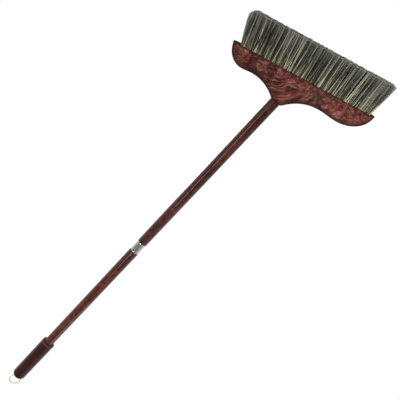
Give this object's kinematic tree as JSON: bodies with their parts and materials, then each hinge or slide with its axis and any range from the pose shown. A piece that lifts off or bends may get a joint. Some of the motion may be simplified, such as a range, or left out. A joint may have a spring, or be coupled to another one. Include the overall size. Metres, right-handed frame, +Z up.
{
  "type": "upright broom",
  "caption": "Upright broom with an asymmetric hardwood head, dense bristle tufts, a raked two-section wooden pole that unscrews at a steel ferrule, a thick grip and a wire hanging ring.",
  "frame": {"origin": "middle of the sweeping face, on the bristle tips, where the handle's axis meets the floor", "axes": "+Z up off the floor; +X along the head, towards the short wing that the handle leans over; -Y is the side seen in the picture, and the neck screw's head is on +Y"},
  "size_m": [0.4507, 0.047, 1.133],
  "materials": {
    "block_wood": "satin",
    "pole_wood": "gloss",
    "bristle": "matte",
    "ferrule_steel": "polished",
    "stud_steel": "satin",
    "screw_steel": "satin",
    "washer_rubber": "matte",
    "grip_plastic": "satin",
    "ring_brass": "polished"
  },
  "bodies": {
    "head_and_lower_pole": {"head_block": "block_wood", "tuft_rank_01": "bristle", "tuft_rank_02": "bristle", "tuft_rank_03": "bristle", "tuft_rank_04": "bristle", "tuft_rank_05": "bristle", "tuft_rank_06": "bristle", "tuft_rank_07": "bristle", "tuft_rank_08": "bristle", "tuft_rank_09": "bristle", "tuft_rank_10": "bristle", "tuft_rank_11": "bristle", "tuft_rank_12": "bristle", "tuft_rank_13": "bristle", "tuft_rank_14": "bristle", "tuft_rank_15": "bristle", "tuft_rank_16": "bristle", "tuft_rank_17": "bristle", "tuft_rank_18": "bristle", "tuft_rank_19": "bristle", "tuft_rank_20": "bristle", "tuft_rank_21": "bristle", "tuft_rank_22": "bristle", "tuft_rank_23": "bristle", "tuft_rank_24": "bristle", "tuft_rank_25": "bristle", "tuft_rank_26": "bristle", "tuft_rank_27": "bristle", "neck_screw": "screw_steel", "lower_pole": "pole_wood", "joint_ferrule": "ferrule_steel"},
    "washer": {"joint_washer": "washer_rubber"},
    "upper_handle": {"joint_stud": "stud_steel", "upper_pole": "pole_wood", "grip": "grip_plastic"},
    "ring": {"hanging_ring": "ring_brass"}
  },
  "joints": [
    {"name": "thread_travel", "type": "slide", "parent": "head_and_lower_pole", "child": "washer", "axis": [0.2419, 0, 0.9703], "range_m": [0, 0.016]},
    {"name": "pole_turn", "type": "hinge", "parent": "washer", "child": "upper_handle", "pos_m": [0.15031, 0, 0.60285], "axis": [0.2419, 0, 0.9703], "range_deg": [0, 2880]},
    {"name": "ring_swing", "type": "hinge", "parent": "upper_handle", "child": "ring", "pos_m": [0.27512, 0, 1.10343], "axis": [0.8721, -0.4384, -0.2174], "range_deg": [-72, 48]}
  ],
  "couplings": [
    {"joint": "pole_turn", "follows": "thread_travel", "rad_per_m": 3141.5}
  ]
}
